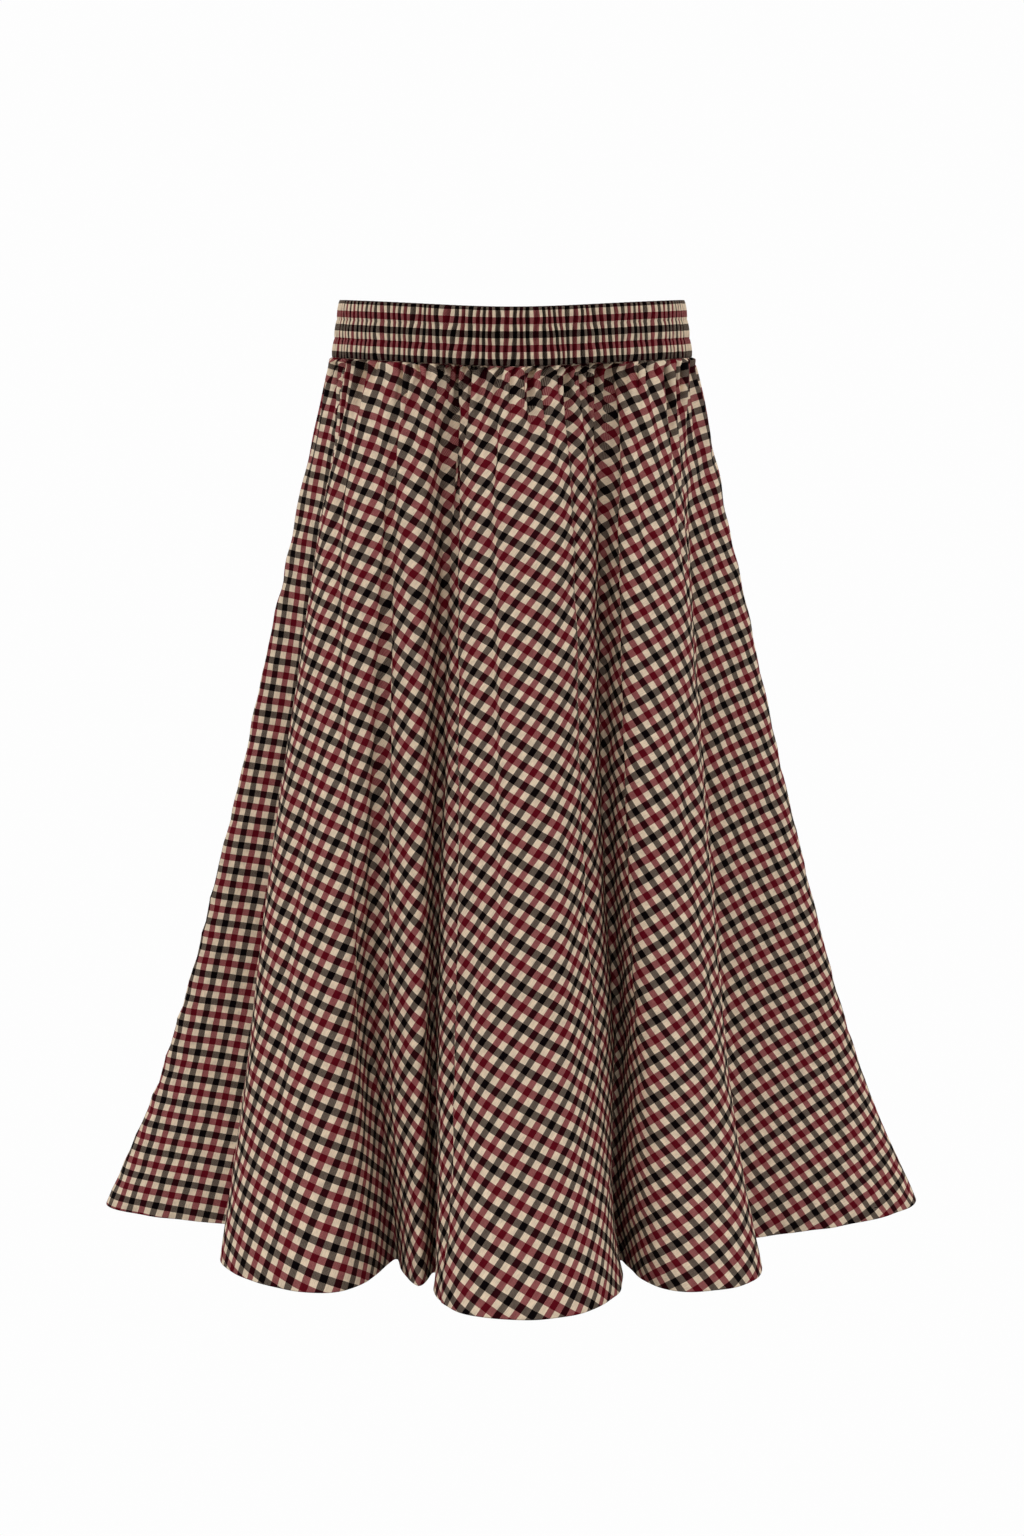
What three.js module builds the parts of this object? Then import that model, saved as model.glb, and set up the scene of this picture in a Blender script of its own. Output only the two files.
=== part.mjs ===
// A midi skirt as it is worn: a gathered elastic waistband over a flared skirt in two panels.
// Millimetres, +Z up. The front faces -Y and +X is on the right seen from the front.
// The origin is the centre of the waist, half way up the waistband.
import * as THREE from "three";

// Whole garment
const totalLength = 760;
const bandHeight = 46;
const clothThickness = 1.5;
const sharpestMitre = 0.7;
const seamGap = 0.3;
const bandTopZ = bandHeight / 2;
const hemZ = bandTopZ - totalLength;

// The waistline is an oval that dips at the front and back
const waistHalfDepth = 96;
const bandTopHalfWidth = 140.5;
const bandFootHalfWidth = 147;
const waistDip = 5.4;

// How far the folds reach forwards and backwards at the hem
const frontReachAtHem = 304;
const backReachAtHem = 280;

// Half of the skirt's width seen from the front, at drops measured from the waistband's top edge
const sections = [
  { drop: bandHeight, halfWidth: bandFootHalfWidth },
  { drop: 81, halfWidth: 157 },
  { drop: 162, halfWidth: 175.5 },
  { drop: 245, halfWidth: 193.5 },
  { drop: 370, halfWidth: 221.5 },
  { drop: 497, halfWidth: 253 },
  { drop: 583, halfWidth: 276.5 },
  { drop: 670, halfWidth: 306 },
  { drop: totalLength, halfWidth: 346 },
];

// The crests and valleys of the flutes, from the left side seam round the front and on round the back.
// waist, middle and hem are the angles round from +X, in degrees, at the waist seam, half way down
// and at the hem. reach is the distance from the axis at the hem. near and far say how broad the crest
// or valley is half way down, towards the fold before it and the one after it: 0 is a sharp edge, and
// 1 fills the way to the next fold. nearHem and farHem say the same at the hem. lean is how far a
// valley's bottom lies past its mouth, in degrees, so that the valley runs straight back from the
// front. onset is small where the fold is deep from the waist down. gathers is the number of small
// gathers from this fold to the next, under the waistband.
const folds = [
  { panel: "skirt_front", name: "left seam valley", waist: -163, middle: -164, hem: -154, reach: 210,
    near: 0.4, far: 0.2, nearHem: 0.3, farHem: 0.2, lean: -8, onset: 0.7, gathers: 2 },
  { panel: "skirt_front", name: "left front crest", waist: -149, middle: -148, hem: -127, reach: 291,
    near: 1, far: 1, nearHem: 1.1, farHem: 1, lean: 0, onset: 1, gathers: 2 },
  { panel: "skirt_front", name: "left front valley", waist: -134, middle: -122, hem: -110, reach: 176,
    near: 0.15, far: 0.2, nearHem: 0.1, farHem: 0.1, lean: -22, onset: 1.1, gathers: 1 },
  { panel: "skirt_front", name: "half hidden crest", waist: -128, middle: -117.5, hem: -108, reach: 236,
    near: 0.5, far: 0.5, nearHem: 0.4, farHem: 0.4, lean: 0, onset: 0.9, gathers: 2 },
  { panel: "skirt_front", name: "centre left valley", waist: -119, middle: -109, hem: -103.5, reach: 196,
    near: 0.1, far: 0.2, nearHem: 0.2, farHem: 0.2, lean: -9, onset: 0.2, gathers: 5 },
  { panel: "skirt_front", name: "centre crest", waist: -84, middle: -87, hem: -88, reach: 304,
    near: 1, far: 1, nearHem: 1.2, farHem: 1.05, lean: 0, onset: 1, gathers: 5 },
  { panel: "skirt_front", name: "centre right valley", waist: -51, middle: -71.5, hem: -72, reach: 176,
    near: 0.2, far: 0.2, nearHem: 0.15, farHem: 0.1, lean: 21, onset: 0.22, gathers: 2 },
  { panel: "skirt_front", name: "right front crest", waist: -35, middle: -47, hem: -53.5, reach: 285,
    near: 0.9, far: 0.9, nearHem: 1, farHem: 0.8, lean: 0, onset: 1, gathers: 3 },
  { panel: "skirt_front", name: "right front valley", waist: -14, middle: -29, hem: -37, reach: 208,
    near: 0.4, far: 0.5, nearHem: 0.1, farHem: 0.3, lean: 9, onset: 0.6, gathers: 3 },
  { panel: "skirt_front", name: "right side crest", waist: 2, middle: 2, hem: 2, reach: 346,
    near: 0.3, far: 0.3, nearHem: 0.2, farHem: 0.3, lean: 0, onset: 1, gathers: 2 },
  { panel: "skirt_back", name: "right seam valley", waist: 16, middle: 16, hem: 17, reach: 276,
    near: 0.3, far: 0.3, nearHem: 0.3, farHem: 0.3, lean: 0, onset: 0.5, gathers: 2 },
  { panel: "skirt_back", name: "first back crest", waist: 33, middle: 33, hem: 33, reach: 310,
    near: 0.8, far: 0.7, nearHem: 0.8, farHem: 0.7, lean: 0, onset: 1, gathers: 2 },
  { panel: "skirt_back", name: "first back valley", waist: 50, middle: 48, hem: 48, reach: 222,
    near: 0.2, far: 0.2, nearHem: 0.2, farHem: 0.2, lean: -9, onset: 0.6, gathers: 3 },
  { panel: "skirt_back", name: "second back crest", waist: 66, middle: 66, hem: 66, reach: 284,
    near: 0.9, far: 1, nearHem: 0.8, farHem: 0.9, lean: 0, onset: 1, gathers: 3 },
  { panel: "skirt_back", name: "second back valley", waist: 84, middle: 85, hem: 84, reach: 196,
    near: 0.1, far: 0.2, nearHem: 0.2, farHem: 0.2, lean: -5, onset: 0.3, gathers: 3 },
  { panel: "skirt_back", name: "third back crest", waist: 101, middle: 102, hem: 103, reach: 282,
    near: 1, far: 0.9, nearHem: 0.9, farHem: 0.8, lean: 0, onset: 1, gathers: 3 },
  { panel: "skirt_back", name: "third back valley", waist: 119, middle: 121, hem: 121, reach: 212,
    near: 0.2, far: 0.1, nearHem: 0.2, farHem: 0.2, lean: 9, onset: 0.5, gathers: 2 },
  { panel: "skirt_back", name: "fourth back crest", waist: 136, middle: 136, hem: 138, reach: 296,
    near: 0.9, far: 0.9, nearHem: 0.8, farHem: 0.8, lean: 0, onset: 1, gathers: 2 },
  { panel: "skirt_back", name: "fourth back valley", waist: 152, middle: 153, hem: 155, reach: 248,
    near: 0.2, far: 0.3, nearHem: 0.25, farHem: 0.3, lean: 5, onset: 0.5, gathers: 3 },
  { panel: "skirt_back", name: "left side crest", waist: 179, middle: 180, hem: 180, reach: 346,
    near: 0.3, far: 0.22, nearHem: 0.3, farHem: 0.22, lean: 0, onset: 1, gathers: 2 },
];

// At the waist the folds are plain waves, of a third on each side. They are full at one level, and
// below another they go over to their breadths at the hem.
const plainBreadth = 1 / 3;
const fullLevel = 0.2;
const hemLevel = 0.7;

// The share of a valley's lean that is left at the hem
const leanAtHem = 0.5;

// The small gathers just under the waistband. They repeat a run of heights and lengths, where the
// length is the share of the height down to the hem at which a gather has faded out.
const stepsPerGather = 4;
const gatherHeightAtSeam = 0.25;
const gatherOnset = 0.012;
const gatherRun = [
  { height: 2.4, length: 0.16 },
  { height: 1.8, length: 0.28 },
  { height: 2.6, length: 0.12 },
  { height: 2, length: 0.4 },
  { height: 2.3, length: 0.2 },
];

// Rings of each panel, as shares of the height from the waist seam down to the hem
const levels = [0, 0.014, 0.045, 0.09, 0.15, 0.23, 0.32, 0.42, 0.53, 0.64, 0.76, 0.88, 1];

// The waistband's ribs, drawn up by the elastic in three stitched channels
const bandRibs = 126;
const ribHeight = 1.1;
const channelCount = 3;
const channelPuff = 1.3;
const ribShareAtStitches = 0.55;

// The mean colour of the check on each piece
const materials = {
  band: new THREE.MeshStandardMaterial({ color: 0x4b2b2a, roughness: 0.9, metalness: 0 }),
  panel: new THREE.MeshStandardMaterial({ color: 0x74504b, roughness: 0.9, metalness: 0 }),
};

const { degToRad: radians, lerp } = THREE.MathUtils;

function smooth(low, high, x) {
  const share = Math.min(1, Math.max(0, (x - low) / (high - low)));
  return share * share * (3 - 2 * share);
}

// Half width at a drop, along a smooth curve through the sections
function halfWidthAt(drop) {
  const last = sections.length - 1;
  let i = 0;
  while (i < last - 1 && drop > sections[i + 1].drop) i += 1;
  const slope = (k) => {
    const before = sections[Math.max(0, k - 1)];
    const after = sections[Math.min(last, k + 1)];
    return (after.halfWidth - before.halfWidth) / (after.drop - before.drop);
  };
  const [a, b] = [sections[i], sections[i + 1]];
  const span = b.drop - a.drop;
  const s = Math.min(1, Math.max(0, (drop - a.drop) / span));
  return lerp(a.halfWidth, b.halfWidth, s * s * (3 - 2 * s))
    + span * s * (1 - s) * (slope(i) * (1 - s) - slope(i + 1) * s);
}

// Distance from the axis to an oval with these half axes, at an angle in degrees
function ovalRadius(halfWidth, halfDepth, angle) {
  return 1 / Math.hypot(Math.cos(radians(angle)) / halfWidth, Math.sin(radians(angle)) / halfDepth);
}

function waistZ(angle) {
  return -waistDip * Math.sin(radians(angle)) ** 2;
}

function pointAt(radius, angle, z) {
  return new THREE.Vector3(radius * Math.cos(radians(angle)), radius * Math.sin(radians(angle)), z);
}

// The smooth oval that the flutes stand on. level is the share of the height below the waist seam.
function envelopeRadius(level, angle) {
  const halfWidth = halfWidthAt(lerp(bandHeight, totalLength, level));
  const flare = (halfWidth - bandFootHalfWidth) / (sections.at(-1).halfWidth - bandFootHalfWidth);
  const reachAtHem = Math.sin(radians(angle)) < 0 ? frontReachAtHem : backReachAtHem;
  return ovalRadius(halfWidth, lerp(waistHalfDepth, reachAtHem, flare), angle);
}

// A crest or valley at a level: its angle, and its distance from the axis as a share of the oval's
function foldAt(fold, level) {
  const towardsMiddle = 4 * fold.middle - 3 * fold.waist - fold.hem;
  const pastMiddle = 2 * fold.waist - 4 * fold.middle + 2 * fold.hem;
  const shareAtHem = fold.reach / envelopeRadius(1, fold.hem);
  const full = smooth(0, fullLevel, level);
  const low = smooth(hemLevel, 1, level);
  return {
    angle: fold.waist + towardsMiddle * level + pastMiddle * level ** 2,
    share: 1 + (shareAtHem - 1) * level ** fold.onset,
    near: lerp(lerp(plainBreadth, fold.near, full), fold.nearHem, low),
    far: lerp(lerp(plainBreadth, fold.far, full), fold.farHem, low),
    lean: fold.lean * level ** fold.onset * lerp(1, leanAtHem, low),
  };
}

// How far a gather stands out at a level
function gatherAt(index, level) {
  const { height, length } = gatherRun[index % gatherRun.length];
  const grown = lerp(gatherHeightAtSeam, 1, smooth(0, gatherOnset, level));
  return height * grown * (1 - smooth(gatherOnset, length, level));
}

// The ring's points from one fold to the next at a level, without the last
function foldPoints(index, level) {
  const from = foldAt(folds[index], level);
  const to = foldAt(folds[(index + 1) % folds.length], level);
  if (to.angle < from.angle) to.angle += 360;
  const gathersBefore = folds.slice(0, index).reduce((sum, { gathers }) => sum + gathers, 0);
  const steps = folds[index].gathers * stepsPerGather;
  return Array.from({ length: steps }, (_, i) => {
    const s = i / steps;
    const fall = s * s * (3 - 2 * s);
    const turn = 3 * (1 - s) ** 2 * s * from.far + 3 * (1 - s) * s ** 2 * (1 - to.near) + s ** 3;
    const angle = lerp(from.angle, to.angle, turn) + lerp(from.lean, to.lean, fall);
    const gather = gatherAt(gathersBefore + Math.round(i / stepsPerGather), level);
    const ripple = gather * Math.cos((2 * Math.PI * i) / stepsPerGather);
    const radius = envelopeRadius(level, angle) * lerp(from.share, to.share, fall) + ripple;
    const seamZ = -bandHeight / 2 + waistZ(angle) - seamGap;
    return pointAt(radius, angle, lerp(seamZ, hemZ, level));
  });
}

// The cloth's outer face at a level, once round, and the index at which each panel starts
function skirtRing(level) {
  const points = [];
  const starts = {};
  folds.forEach(({ panel }, index) => {
    starts[panel] ??= points.length;
    points.push(...foldPoints(index, level));
  });
  return { points, starts };
}

// The same ring moved in by a distance, level with itself, and mitred where it turns
function movedIn(ring, distance) {
  const inwardOf = (a, b) => new THREE.Vector3(a.y - b.y, b.x - a.x, 0).normalize();
  return ring.map((point, i) => {
    const before = inwardOf(ring.at(i - 1), point);
    const after = inwardOf(point, ring[(i + 1) % ring.length]);
    const inward = before.clone().add(after).normalize();
    return point.clone().addScaledVector(inward, distance / Math.max(sharpestMitre, inward.dot(after)));
  });
}

// Draws the ends of a panel's row back from the seams, to clear the next panel
function drawnBack(row) {
  const towards = (from, to) => from.clone().addScaledVector(to.clone().sub(from).normalize(), seamGap / 2);
  const last = row.length - 1;
  return [towards(row[0], row[1]), ...row.slice(1, last), towards(row[last], row[last - 1])];
}

// A closed wall from rows of points that run round it, the rows going down.
// One that goes all the way round has no side edges.
function wallGeometry(outer, inner, goesRound) {
  const rows = [...outer, ...inner];
  const columns = outer[0].length;
  const at = (row, c) => rows.indexOf(row) * columns + (c % columns);
  const triangles = [];
  const quad = (a, b, c, d) => triangles.push(a, b, c, a, c, d);
  const skin = (upper, lower) => {
    for (let c = 0; c < (goesRound ? columns : columns - 1); c += 1) {
      quad(at(upper, c), at(lower, c), at(lower, c + 1), at(upper, c + 1));
    }
  };
  for (let r = 1; r < outer.length; r += 1) skin(outer[r - 1], outer[r]);
  for (let r = 1; r < inner.length; r += 1) skin(inner[r], inner[r - 1]);
  skin(inner[0], outer[0]);
  skin(outer.at(-1), inner.at(-1));
  if (!goesRound) {
    for (let r = 1; r < outer.length; r += 1) {
      const end = columns - 1;
      quad(at(inner[r - 1], 0), at(inner[r], 0), at(outer[r], 0), at(outer[r - 1], 0));
      quad(at(outer[r - 1], end), at(outer[r], end), at(inner[r], end), at(inner[r - 1], end));
    }
  }
  const geometry = new THREE.BufferGeometry().setFromPoints(rows.flat());
  geometry.setIndex(triangles);
  geometry.computeVertexNormals();
  return geometry;
}

function namedMesh(name, geometry, material) {
  const mesh = new THREE.Mesh(geometry, material);
  mesh.name = name;
  return mesh;
}

// One panel of the skirt, from its own seam to the next panel's
function makePanel(name) {
  const steps = folds.filter(({ panel }) => panel === name)
    .reduce((sum, { gathers }) => sum + gathers * stepsPerGather, 0);
  const outer = [];
  const inner = [];
  for (const level of levels) {
    const { points, starts } = skirtRing(level);
    const cut = (ring) => Array.from({ length: steps + 1 }, (_, i) => ring[(starts[name] + i) % ring.length]);
    outer.push(drawnBack(cut(points)));
    inner.push(drawnBack(cut(movedIn(points, clothThickness))));
  }
  return namedMesh(name, wallGeometry(outer, inner, false), materials.panel);
}

// A ring of the waistband at a share of its height from the top. relief gives how far each of the
// ring's points stands out from the plain oval.
function bandRing(share, relief) {
  const halfWidth = lerp(bandTopHalfWidth, bandFootHalfWidth, share);
  return Array.from({ length: bandRibs * 2 }, (_, i) => {
    const angle = (180 * i) / bandRibs;
    const radius = ovalRadius(halfWidth, waistHalfDepth, angle) + relief(i);
    return pointAt(radius, angle, bandTopZ - bandHeight * share + waistZ(angle));
  });
}

// The waistband: ribs over puffed channels outside, and plain inside
function makeWaistband() {
  const rings = channelCount * 2;
  const outer = Array.from({ length: rings + 1 }, (_, k) => {
    const puff = k % 2;
    const rib = (ribHeight / 2) * lerp(ribShareAtStitches, 1, puff);
    return bandRing(k / rings, (i) => -channelPuff * (1 - puff) + (i % 2 ? -rib : rib));
  });
  const plain = () => -channelPuff - ribHeight / 2 - clothThickness;
  const inner = [bandRing(0, plain), bandRing(1, plain)];
  return namedMesh("waistband", wallGeometry(outer, inner, true), materials.band);
}

const skirt = new THREE.Group();
skirt.add(makeWaistband(), makePanel("skirt_front"), makePanel("skirt_back"));

export default skirt;
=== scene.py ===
"""A midi skirt in checked cloth, as it is worn: a gathered elastic waistband over two flared panels.

Metres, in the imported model's frame: +Z up, the front faces -Y, +X is on the right seen from the
front, and the origin is the centre of the waist, half way up the waistband.
"""

from __future__ import annotations

import logging
import math
from dataclasses import dataclass
from enum import Enum
from typing import TypeVar

import bpy
import numpy as np
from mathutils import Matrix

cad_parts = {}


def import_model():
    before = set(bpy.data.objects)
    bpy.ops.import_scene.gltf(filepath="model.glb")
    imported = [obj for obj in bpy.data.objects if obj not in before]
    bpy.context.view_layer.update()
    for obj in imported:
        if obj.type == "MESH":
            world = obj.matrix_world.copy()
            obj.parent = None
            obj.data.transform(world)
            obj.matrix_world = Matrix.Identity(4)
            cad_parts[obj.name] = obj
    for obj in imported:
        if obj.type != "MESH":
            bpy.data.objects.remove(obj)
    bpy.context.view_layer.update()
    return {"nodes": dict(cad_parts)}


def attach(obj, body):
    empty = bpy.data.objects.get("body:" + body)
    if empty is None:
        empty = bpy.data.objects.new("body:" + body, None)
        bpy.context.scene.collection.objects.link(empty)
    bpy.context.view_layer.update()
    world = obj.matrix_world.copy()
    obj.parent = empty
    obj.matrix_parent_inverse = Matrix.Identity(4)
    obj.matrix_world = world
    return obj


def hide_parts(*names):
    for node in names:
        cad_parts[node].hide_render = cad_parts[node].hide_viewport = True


LOG = logging.getLogger("midi_skirt")
CLOTH_UV = "Cloth"
Row = TypeVar("Row")
BODY = "root"


class Node(Enum):
    """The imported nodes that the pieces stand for."""

    WAISTBAND = "waistband"
    FRONT = "skirt_front"
    BACK = "skirt_back"


class Slot(Enum):
    """The record's material slots."""

    GATHERED = "gathered_check"
    FRONT = "front_check"
    BACK = "back_check"


class Hold(Enum):
    """How a sheet of cloth is held."""

    HUNG = "hung"
    GATHERED = "gathered"


def smooth(low: float, high: float, x: np.ndarray | float) -> np.ndarray:
    """Rises from 0 to 1 with level ends.

    Args:
        low: Where the rise starts.
        high: Where it ends.
        x: The value or values to test.

    Returns:
        The share of the rise, in the shape of x.
    """
    share = np.clip((np.asarray(x, dtype=float) - low) / (high - low), 0.0, 1.0)
    return share * share * (3 - 2 * share)


def mix(a: np.ndarray | float, b: np.ndarray | float, share: np.ndarray | float) -> np.ndarray:
    """Goes from a to b as share goes from 0 to 1."""
    return a + (b - a) * share


def table(kind: type[Row], columns: tuple[str, ...], rows: tuple[tuple[float, ...], ...]) -> tuple[Row, ...]:
    """Makes one record of a kind from each row of a table.

    Args:
        kind: The dataclass of the records.
        columns: The field that each column gives.
        rows: The table's rows.

    Returns:
        The records, in the rows' order.
    """
    return tuple(kind(**dict(zip(columns, row))) for row in rows)


def oval_radius(half_width: float, half_depth: float, angle: np.ndarray) -> np.ndarray:
    """Distance from the axis to an oval, at angles in radians."""
    return 1 / np.hypot(np.cos(angle) / half_width, np.sin(angle) / half_depth)


def outward_normals(grid: np.ndarray, goes_round: bool) -> np.ndarray:
    """Unit normals of a grid of points whose rows go down and whose columns go right.

    Args:
        grid: Points, as rows, columns, xyz.
        goes_round: True where the last column meets the first.

    Returns:
        One unit normal for each point, out of the face that is seen.
    """
    down = np.gradient(grid, axis=0)
    if goes_round:
        right = np.roll(grid, -1, axis=1) - np.roll(grid, 1, axis=1)
    else:
        right = np.gradient(grid, axis=1)
    normal = np.cross(down, right)
    return normal / np.maximum(np.linalg.norm(normal, axis=2, keepdims=True), 1e-12)


def wall_object(
    name: str, outer: np.ndarray, inner: np.ndarray, uv: np.ndarray, goes_round: bool
) -> bpy.types.Object:
    """A closed cloth wall between an outer and an inner grid of points.

    Args:
        name: The piece's name.
        outer: The face that is seen, as rows going down, columns going right, xyz.
        inner: The other face, in the same order.
        uv: The place of each outer point on the flat cloth. It has one column more than
            the grids where the wall goes round.
        goes_round: True where the last column meets the first.

    Returns:
        The new object, at the origin.
    """
    rows, columns = outer.shape[:2]
    spans = columns if goes_round else columns - 1
    skip = rows * columns

    def quads(corners: list[tuple[int, np.ndarray, np.ndarray]]) -> tuple[np.ndarray, np.ndarray]:
        """Corner points and their places on the cloth, from (face, row, column) for each corner."""
        points, places = [], []
        for face, row, column in corners:
            row, column = np.broadcast_arrays(row, column)
            points.append((face * skip + row * columns + column % columns).ravel())
            places.append(uv[row, column].reshape(-1, 2))
        return np.stack(points, axis=1), np.stack(places, axis=1)

    r = np.arange(rows - 1)[:, None]
    c = np.arange(spans)[None, :]
    top, foot = np.array([0]), np.array([rows - 1])
    side, start, end = np.arange(rows - 1), np.array([0]), np.array([columns - 1])
    parts = [
        quads([(0, r, c), (0, r + 1, c), (0, r + 1, c + 1), (0, r, c + 1)]),
        quads([(1, r, c + 1), (1, r + 1, c + 1), (1, r + 1, c), (1, r, c)]),
        quads([(1, top, c[0]), (0, top, c[0]), (0, top, c[0] + 1), (1, top, c[0] + 1)]),
        quads([(0, foot, c[0]), (1, foot, c[0]), (1, foot, c[0] + 1), (0, foot, c[0] + 1)]),
    ]
    if not goes_round:
        parts += [
            quads([(1, side, start), (1, side + 1, start), (0, side + 1, start), (0, side, start)]),
            quads([(0, side, end), (0, side + 1, end), (1, side + 1, end), (1, side, end)]),
        ]
    faces = np.concatenate([points for points, _ in parts])
    places = np.concatenate([place for _, place in parts])
    mesh = bpy.data.meshes.new(name)
    vertices = np.concatenate([outer.reshape(-1, 3), inner.reshape(-1, 3)])
    mesh.from_pydata(vertices.tolist(), [], faces.tolist())
    layer = mesh.uv_layers.new(name=CLOTH_UV)
    layer.data.foreach_set("uv", places.astype(np.float32).ravel())
    mesh.shade_smooth()
    mesh.update()
    piece = bpy.data.objects.new(name, mesh)
    bpy.context.scene.collection.objects.link(piece)
    return piece


class ShaderTree:
    """Short ways to place and join nodes in one node tree."""

    def __init__(self, tree: bpy.types.NodeTree) -> None:
        """Keeps the tree.

        Args:
            tree: The node tree to build in.
        """
        self.tree = tree

    def node(self, kind: str, **settings: object) -> bpy.types.Node:
        """Adds a node.

        Args:
            kind: The node's type name, without ShaderNode.
            **settings: Values for the node's own properties.

        Returns:
            The new node.
        """
        new = self.tree.nodes.new("ShaderNode" + kind)
        for key, value in settings.items():
            setattr(new, key, value)
        return new

    def join(self, source: object, target: bpy.types.NodeSocket) -> None:
        """Links a socket to a target, or sets the target to a plain value."""
        if isinstance(source, bpy.types.NodeSocket):
            self.tree.links.new(source, target)
        else:
            target.default_value = source

    def math(self, operation: str, *values: object) -> bpy.types.NodeSocket:
        """Works out a number from sockets or plain values."""
        node = self.node("Math", operation=operation)
        for socket, value in zip(node.inputs, values):
            self.join(value, socket)
        return node.outputs[0]

    def vector(self, operation: str, *values: object) -> bpy.types.NodeSocket:
        """Works out a vector from sockets or plain values."""
        node = self.node("VectorMath", operation=operation)
        names = {"SCALE": ("Vector", "Scale")}.get(operation)
        sockets = [node.inputs[n] for n in names] if names else node.inputs
        for socket, value in zip(sockets, values):
            self.join(value, socket)
        return node.outputs[0]

    def noise(self, vector: object, scale: float, detail: float = 2.0) -> bpy.types.Node:
        """Adds a noise texture over a vector."""
        node = self.node("TexNoise")
        self.join(vector, node.inputs["Vector"])
        node.inputs["Scale"].default_value = scale
        node.inputs["Detail"].default_value = detail
        return node

    def blend(self, share: object, a: object, b: object) -> bpy.types.NodeSocket:
        """Mixes two colours."""
        node = self.node("Mix", data_type="RGBA")
        self.join(share, node.inputs["Factor"])
        colours = [s for s in node.inputs if s.type == "RGBA"]
        self.join(a, colours[0])
        self.join(b, colours[1])
        return next(s for s in node.outputs if s.type == "RGBA")


@dataclass(frozen=True)
class Yarns:
    """The three yarns of the check, as linear colours."""

    cream: tuple[float, float, float] = (0.88, 0.705, 0.515)
    burgundy: tuple[float, float, float] = (0.120, 0.004, 0.010)
    black: tuple[float, float, float] = (0.0030, 0.0015, 0.0018)


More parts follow.
